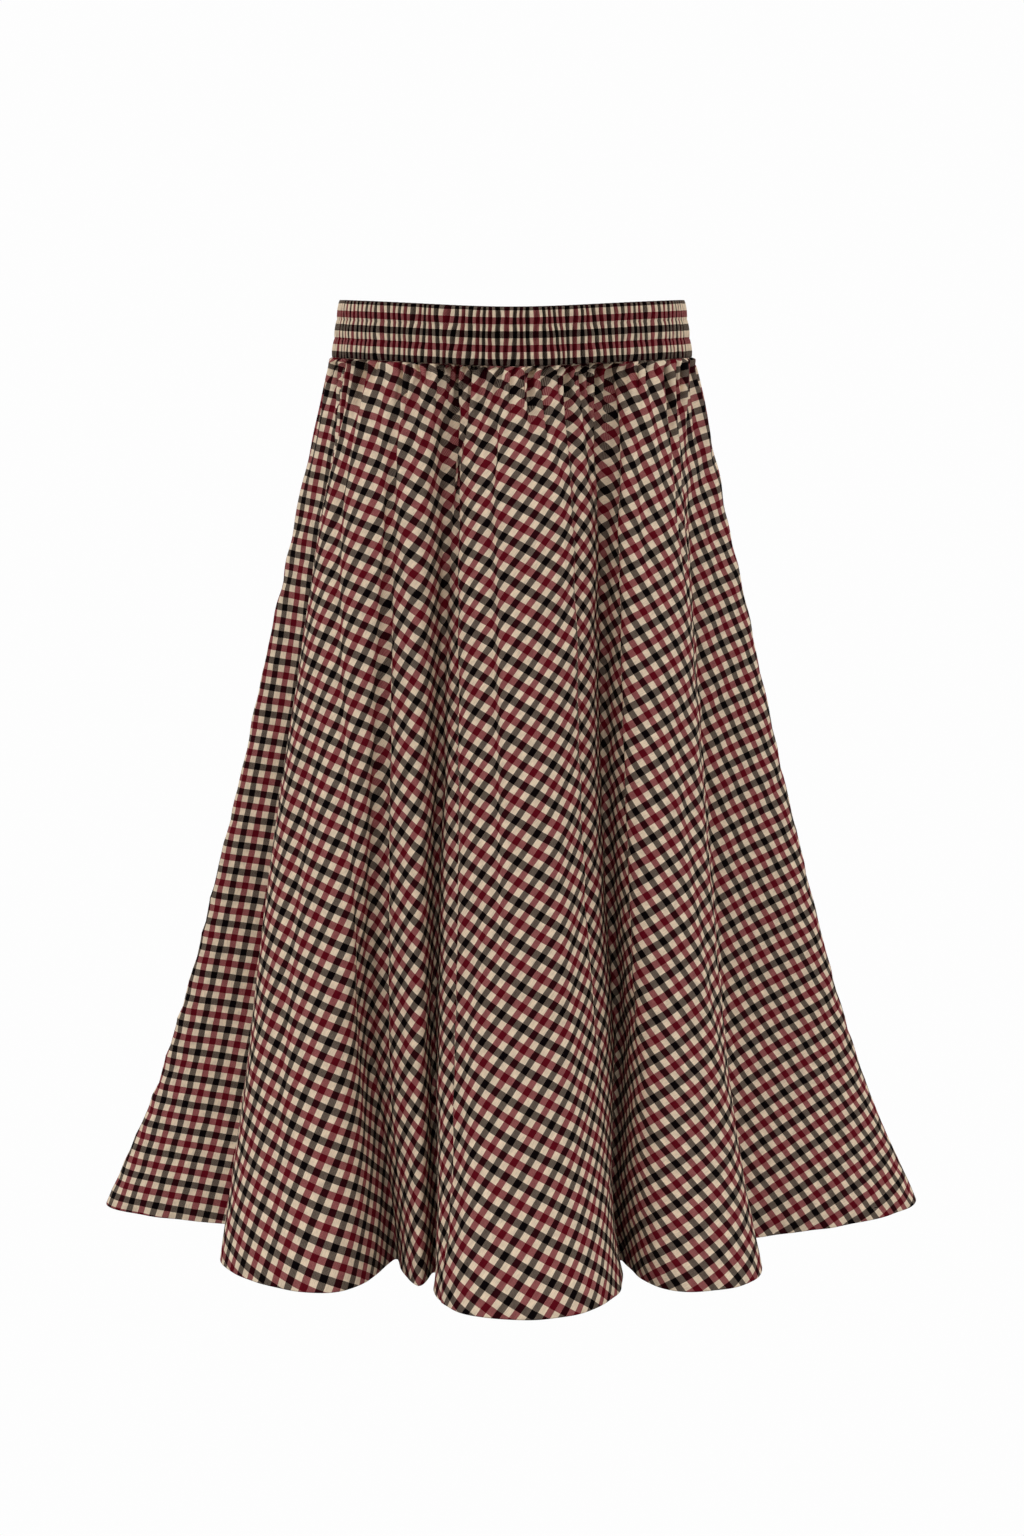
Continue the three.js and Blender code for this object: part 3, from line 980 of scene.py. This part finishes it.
@dataclass
class Waistband:
    """The strip gathered by elastic in three stitched channels, folded over at its top edge."""

    form: SkirtForm
    ribs: int = 132
    steps_per_rib: int = 10
    rib_depth: float = 0.0068
    crest: float = 0.0007
    rib_share_at_stitches: float = 0.6
    channels: int = 3
    channel_puff: float = 0.0010
    rows_per_channel: int = 11
    lining_depth: float = 0.0020
    lining_follows: float = 0.85
    pull_at_crests: float = 0.10
    strip_height: float = 0.0476
    strip_start: float = 0.0196
    rib_roundness: float = 0.7
    puff_roundness: float = 0.6
    seed: int = 5

    def angles(self) -> np.ndarray:
        """Angles of the columns, evenly spaced round the oval from the middle of the back."""
        fine = np.radians(np.linspace(90, 450, 4001))
        radius = self.form.band_radius(0.5, fine)
        points = np.stack([radius * np.cos(fine), radius * np.sin(fine)], axis=1)
        run = np.concatenate([[0], np.cumsum(np.linalg.norm(np.diff(points, axis=0), axis=1))])
        count = self.ribs * self.steps_per_rib
        return np.interp(np.arange(count) / count * run[-1], run, fine)

    def rib_counts(self, shares: np.ndarray) -> np.ndarray:
        """Where the ribs run: whole numbers in the furrows and halves on the crests.

        Args:
            shares: Shares of the band's height, for each row.

        Returns:
            The place of each point, counted in ribs, as rows and one column more than the ring.
        """
        draw = np.random.RandomState(self.seed)
        columns = self.ribs * self.steps_per_rib
        round_ = np.arange(columns + 1) / columns
        count = self.ribs * round_
        for waves, size in ((5, 0.3), (13, 0.16), (29, 0.08), (47, 0.04)):
            count = count + size * np.sin(2 * np.pi * (waves * round_ + draw.rand()))
        lean = np.zeros((len(shares), columns + 1))
        for waves, size in ((4, 0.5), (17, 0.3), (31, 0.25)):
            wave = size * np.sin(2 * np.pi * (waves * round_ + draw.rand()))
            lean += wave[None, :] * (shares[:, None] - 0.5)
        for channel in range(self.channels):
            middle = (channel + 0.5) / self.channels
            near = np.exp(-(((shares - middle) * self.channels / 0.5) ** 2))[:, None]
            lean += 0.16 * near * np.sin(2 * np.pi * (23 * round_ + draw.rand()))[None, :]
        return count[None, :] + lean

    def rib_waves(self, counts: np.ndarray) -> np.ndarray:
        """The ribs: rounded crests with narrow furrows, uneven in depth.

        Args:
            counts: Places counted in ribs, as rows, columns.

        Returns:
            How deep each point lies, from 0 on a crest to about 1 in a furrow.
        """
        draw = np.random.RandomState(self.seed + 1)
        round_ = np.arange(counts.shape[1]) / counts.shape[1]
        depth = np.ones(counts.shape[1])
        for waves, size in ((9, 0.07), (37, 0.1), (61, 0.08)):
            depth += size * np.sin(2 * np.pi * (waves * round_ + draw.rand()))
        return (1 - np.abs(np.sin(np.pi * counts)) ** self.rib_roundness) * depth[None, :]

    def build(self) -> bpy.types.Object:
        """Makes the waistband as one closed ring.

        Returns:
            The new object.
        """
        angle = self.angles()
        rows = self.channels * self.rows_per_channel
        shares = np.linspace(0, 1, rows + 1)
        puff = np.abs(np.sin(np.pi * self.channels * shares)) ** self.puff_roundness
        counts = self.rib_counts(shares)
        strength = mix(self.rib_share_at_stitches, 1, puff)[:, None]
        depth = self.rib_depth * strength * self.rib_waves(counts[:, :-1])
        oval = self.form.band_radius(shares[:, None], angle[None, :])
        radius = oval + self.crest - self.channel_puff * (1 - puff)[:, None] - depth
        z = self.form.band_top_z - self.form.band_height * shares[:, None] + self.form.waist_z(angle)
        outer = np.stack([radius * np.cos(angle), radius * np.sin(angle), z], axis=2)
        lining = oval - self.lining_depth - self.lining_follows * depth
        inner = np.stack([lining * np.cos(angle), lining * np.sin(angle), z], axis=2)

        along = (2 * counts - 0.5 - self.pull_at_crests * np.sin(2 * np.pi * counts)) * CheckedCloth.square
        down = self.strip_start + self.strip_height * shares
        uv = np.stack(np.broadcast_arrays(along, down[:, None]), axis=2)
        piece = wall_object("waistband_cloth", outer, inner, uv, True)
        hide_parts(Node.WAISTBAND.value)
        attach(piece, BODY)
        return piece

    def dress(self, piece: bpy.types.Object, yarns: Yarns) -> None:
        """Gives the waistband its cloth."""
        finish = CheckedCloth(name=Slot.GATHERED.value, rumple_depth=0.0005)
        piece.data.materials.append(finish.material(yarns))


@dataclass(frozen=True)
class Lamp:
    """A large soft lamp, aimed at the skirt."""

    name: str
    place: tuple[float, float, float]
    size: float
    power: float


@dataclass
class Studio:
    """A pale floor and backdrop, soft lights and the camera."""

    floor_z: float = -1.3
    floor_size: float = 14.0
    white: float = 0.985
    bounce: float = 0.08
    camera_distance: float = 2.533
    camera_height: float = 0.023
    camera_pitch: float = 8.6515
    lens: float = 72.09
    world_strength: float = 0.88
    lamp_aim: tuple[float, float, float] = (0.0, 0.0, -0.35)
    lamps: tuple[Lamp, ...] = (
        Lamp(name="key", place=(-2.9, -1.9, 1.4), size=2.6, power=14.0),
        Lamp(name="fill", place=(2.9, -1.7, 0.9), size=2.6, power=7.0),
        Lamp(name="rear", place=(0.5, 3.2, 1.3), size=3.0, power=20.0),
    )

    def seen_or_lit(self, tree: bpy.types.NodeTree, lit: bpy.types.NodeSocket) -> bpy.types.NodeSocket:
        """Shows plain pale paper behind the skirt, while its light on the cloth stays low.

        Args:
            tree: The tree of the world or of the floor's material.
            lit: The shader that gives light to the cloth.

        Returns:
            The shader for the tree's output.
        """
        kit = ShaderTree(tree)
        paper = kit.node("Emission")
        paper.inputs["Color"].default_value = (self.white, self.white, self.white, 1)
        join = kit.node("MixShader")
        kit.join(kit.node("LightPath").outputs["Is Camera Ray"], join.inputs[0])
        kit.join(lit, join.inputs[1])
        kit.join(paper.outputs[0], join.inputs[2])
        return join.outputs[0]

    def backing(self) -> None:
        """Adds the floor."""
        paper = bpy.data.materials.new("paper")
        paper.use_nodes = True
        tree = paper.node_tree
        shader = next(n for n in tree.nodes if n.type == "BSDF_PRINCIPLED")
        shader.inputs["Base Color"].default_value = (self.bounce, self.bounce, self.bounce, 1)
        shader.inputs["Roughness"].default_value = 0.9
        shown = self.seen_or_lit(tree, shader.outputs[0])
        tree.links.new(shown, tree.nodes["Material Output"].inputs["Surface"])
        bpy.ops.mesh.primitive_plane_add(size=self.floor_size, location=(0, 0, self.floor_z))
        floor = bpy.context.object
        floor.name = "floor"
        floor.data.materials.append(paper)

    def lights(self) -> None:
        """Adds the world's light and three large soft lamps."""
        world = bpy.data.worlds.new("studio")
        world.use_nodes = True
        background = world.node_tree.nodes["Background"]
        background.inputs["Color"].default_value = (1, 1, 1, 1)
        background.inputs["Strength"].default_value = self.world_strength
        shown = self.seen_or_lit(world.node_tree, background.outputs[0])
        world.node_tree.links.new(shown, world.node_tree.nodes["World Output"].inputs["Surface"])
        bpy.context.scene.world = world
        for lamp in self.lamps:
            light = bpy.data.lights.new(lamp.name, "AREA")
            light.size = lamp.size
            light.energy = lamp.power
            holder = bpy.data.objects.new(lamp.name, light)
            bpy.context.scene.collection.objects.link(holder)
            holder.location = lamp.place
            aim = np.array(self.lamp_aim) - np.array(lamp.place)
            flat = math.hypot(aim[0], aim[1])
            holder.rotation_euler = (math.atan2(flat, -aim[2]), 0, math.atan2(-aim[0], aim[1]))

    def camera(self) -> None:
        """Adds the camera at the viewing angle."""
        data = bpy.data.cameras.new("camera")
        data.lens = self.lens
        data.sensor_width = 36
        holder = bpy.data.objects.new("camera", data)
        bpy.context.scene.collection.objects.link(holder)
        holder.location = (0, -self.camera_distance, self.camera_height)
        holder.rotation_euler = (math.radians(90 - self.camera_pitch), 0, 0)
        bpy.context.scene.camera = holder

    def build(self) -> None:
        """Sets up the whole studio."""
        self.backing()
        self.lights()
        self.camera()
        bpy.context.scene.view_settings.view_transform = "Standard"


PUCKERS_FRONT = (
    Puckers(count=43, height=0.0130, shortest=0.020, longest=0.095, seed=11),
    Puckers(count=67, height=0.0036, shortest=0.012, longest=0.040, seed=12),
)

PUCKERS_BACK = (
    Puckers(count=41, height=0.0130, shortest=0.020, longest=0.095, seed=21),
    Puckers(count=65, height=0.0036, shortest=0.012, longest=0.040, seed=22),
)

CREASE_COLUMNS = ("start", "end", "top", "foot", "height", "before", "after", "bow", "tuck", "edge")

CREASES_FRONT = table(Crease, CREASE_COLUMNS, (
    (0.360, 0.420, -0.04, 0.75, -0.0046, 0.0042, 0.0042, 0.008, 0.005, 1.2),
    (0.262, 0.365, -0.05, 1.15, -0.0090, 0.0105, 0.0034, 0.046, 0.008, 1.2),
    (0.521, 0.522, -0.06, 0.90, -0.0080, 0.0034, 0.0100, -0.012, 0.007, 1.2),
    (0.624, 0.630, -0.05, 0.85, -0.0080, 0.0100, 0.0036, -0.006, 0.006, 1.2),
    (0.140, 0.262, -0.04, 1.05, -0.0056, 0.0085, 0.0036, 0.016, 0.006, 1.2),
    (0.030, 0.200, 0.03, 0.95, -0.0042, 0.0060, 0.0060, 0.050, 0.004, 1.3),
    (0.824, 0.800, 0.05, 0.92, -0.0042, 0.0060, 0.0060, -0.005, 0.004, 1.4),
    (0.165, 0.246, 0.05, 0.34, 0.0028, 0.0070, 0.0070, 0.0, 0.0, 2.0),
    (0.664, 0.680, 0.05, 0.28, -0.0034, 0.0048, 0.0048, 0.0, 0.003, 1.4),
    (0.060, 0.082, -0.04, 0.25, -0.0040, 0.0050, 0.0050, 0.0, 0.0, 1.5),
    (0.432, 0.446, -0.03, 0.17, -0.0030, 0.0060, 0.0060, 0.0, 0.0, 1.6),
    (0.478, 0.462, -0.03, 0.13, -0.0034, 0.0050, 0.0050, 0.0, 0.0, 1.5),
    (0.760, 0.742, -0.04, 0.32, -0.0046, 0.0046, 0.0046, 0.0, 0.004, 1.3),
    (0.845, 0.850, -0.03, 0.22, -0.0038, 0.0055, 0.0055, 0.0, 0.0, 1.5),
    (0.925, 0.915, -0.03, 0.30, -0.0036, 0.0050, 0.0050, 0.0, 0.0, 1.5),
    (0.455, 0.470, 0.42, 0.95, 0.0030, 0.0140, 0.0140, 0.006, 0.0, 2.0),
    (0.392, 0.380, 0.50, 1.10, -0.0030, 0.0110, 0.0110, 0.0, 0.0, 2.0),
    (0.700, 0.725, 0.36, 0.90, -0.0034, 0.0100, 0.0100, -0.004, 0.0, 2.0),
    (0.110, 0.125, 0.40, 1.05, -0.0034, 0.0090, 0.0090, 0.0, 0.0, 2.0),
))

DRAGS_FRONT = (
    Drag(share=0.16, slope=0.0),
    Drag(share=0.22, slope=-0.12),
    Drag(share=0.30, slope=-0.10),
    Drag(share=0.35, slope=0.27),
    Drag(share=0.50, slope=0.27),
    Drag(share=0.56, slope=-0.10),
    Drag(share=0.70, slope=-0.12),
    Drag(share=0.80, slope=0.0),
)

CREASES_BACK = table(Crease, CREASE_COLUMNS, (
    (0.071, 0.090, -0.04, 0.30, -0.0044, 0.0046, 0.0046, 0.0, 0.004, 1.3),
    (0.165, 0.150, -0.05, 0.42, -0.0058, 0.0040, 0.0040, 0.0, 0.006, 1.2),
    (0.252, 0.270, -0.03, 0.18, -0.0034, 0.0055, 0.0055, 0.0, 0.0, 1.6),
    (0.331, 0.340, -0.05, 0.36, -0.0060, 0.0038, 0.0038, 0.0, 0.006, 1.2),
    (0.446, 0.420, -0.04, 0.62, -0.0046, 0.0044, 0.0044, -0.006, 0.004, 1.3),
    (0.530, 0.548, -0.03, 0.20, -0.0038, 0.0050, 0.0050, 0.0, 0.0, 1.5),
    (0.618, 0.640, -0.05, 0.44, -0.0060, 0.0040, 0.0040, 0.0, 0.006, 1.2),
    (0.715, 0.706, -0.03, 0.15, -0.0032, 0.0060, 0.0060, 0.0, 0.0, 1.6),
    (0.802, 0.820, -0.05, 0.33, -0.0054, 0.0042, 0.0042, 0.0, 0.005, 1.3),
    (0.900, 0.885, -0.04, 0.26, -0.0040, 0.0050, 0.0050, 0.0, 0.0, 1.5),
    (0.230, 0.215, 0.38, 0.96, -0.0032, 0.0110, 0.0110, 0.005, 0.0, 2.0),
    (0.480, 0.500, 0.45, 1.08, 0.0030, 0.0130, 0.0130, 0.0, 0.0, 2.0),
    (0.760, 0.742, 0.35, 0.90, -0.0034, 0.0100, 0.0100, 0.0, 0.0, 2.0),
))


def main() -> None:
    """Loads the frame, builds each piece in order and reports it."""
    logging.basicConfig(level=logging.INFO, format="%(message)s")
    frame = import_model()
    bpy.ops.object.select_all(action="DESELECT")
    LOG.info("frame loaded with nodes %s", sorted(frame["nodes"]))

    Studio().build()
    LOG.info("studio built")
    form = SkirtForm()
    yarns = Yarns()
    band = Waistband(form)
    piece = band.build()
    band.dress(piece, yarns)
    LOG.info("%s: %d faces", piece.name, len(piece.data.polygons))
    gathers = sum(fold.gathers for fold in FRONT_FOLDS)
    panels = (
        Panel(Node.FRONT, Slot.FRONT, form, FRONT_FOLDS, BACK_FOLDS[0], 0, slant_at_start=9.8,
              fan_angle=71.5, creases=CREASES_FRONT, puckers=PUCKERS_FRONT, drags=DRAGS_FRONT, seed=3),
        Panel(Node.BACK, Slot.BACK, form, BACK_FOLDS, FRONT_FOLDS[0], gathers, slant_at_start=-56.9,
              fan_angle=65.0, creases=CREASES_BACK, puckers=PUCKERS_BACK, seed=4),
    )
    for panel in panels:
        piece = panel.build()
        panel.dress(piece, yarns)
        LOG.info("%s: %d faces", piece.name, len(piece.data.polygons))

    bpy.context.view_layer.update()


if __name__ == "__main__":
    main()
